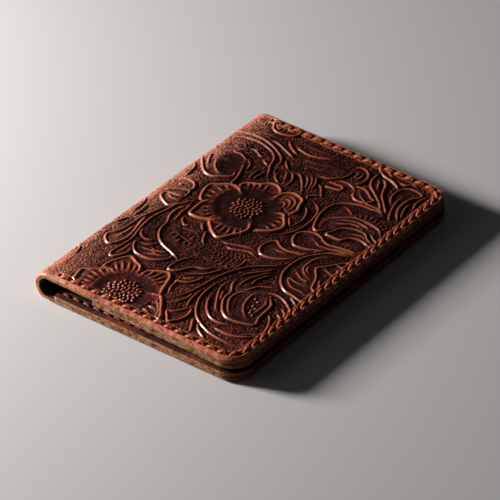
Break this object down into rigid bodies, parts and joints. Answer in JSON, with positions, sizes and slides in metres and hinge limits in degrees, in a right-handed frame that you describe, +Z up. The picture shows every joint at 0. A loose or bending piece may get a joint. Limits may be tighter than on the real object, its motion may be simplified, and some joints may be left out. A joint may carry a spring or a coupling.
{
  "type": "bifold card wallet",
  "caption": "Closed bifold wallet of thick tooled leather with a stitched pocket panel inside each cover; opens flat at a soft spine.",
  "frame": {"origin": "middle of the footprint, on the surface that the back cover lies on", "axes": "+X from the spine to the fore-edge, +Y from the foot to the head, +Z up through the closed wallet"},
  "size_m": [0.075, 0.107, 0.0102],
  "materials": {
    "tooled_leather": "tooled, antiqued, waxed",
    "pocket_leather": "plain, oiled",
    "waxed_thread": "waxed"
  },
  "bodies": {
    "back": {"back_cover": "tooled_leather", "back_pocket": "pocket_leather", "back_thread": "waxed_thread"},
    "spine_1": {"spine_strip_1": "tooled_leather"},
    "spine_2": {"spine_strip_2": "tooled_leather"},
    "spine_3": {"spine_strip_3": "tooled_leather"},
    "front": {"front_cover": "tooled_leather", "front_pocket": "pocket_leather", "front_thread": "waxed_thread"}
  },
  "joints": [
    {"name": "fold_1", "type": "hinge", "parent": "back", "child": "spine_1", "pos_m": [-0.03437, 0, 0.0004], "axis": [0, -1, 0], "range_deg": [0, 45]},
    {"name": "fold_2", "type": "hinge", "parent": "spine_1", "child": "spine_2", "pos_m": [-0.03713, 0, 0.0032], "axis": [0, -1, 0], "range_deg": [0, 45]},
    {"name": "fold_3", "type": "hinge", "parent": "spine_2", "child": "spine_3", "pos_m": [-0.03708, 0, 0.00714], "axis": [0, -1, 0], "range_deg": [0, 45]},
    {"name": "fold_4", "type": "hinge", "parent": "spine_3", "child": "front", "pos_m": [-0.03423, 0, 0.00986], "axis": [0, -1, 0], "range_deg": [0, 45]}
  ],
  "couplings": [
    {"joint": "fold_2", "follows": "fold_1", "ratio": 1},
    {"joint": "fold_3", "follows": "fold_1", "ratio": 1},
    {"joint": "fold_4", "follows": "fold_1", "ratio": 1}
  ]
}
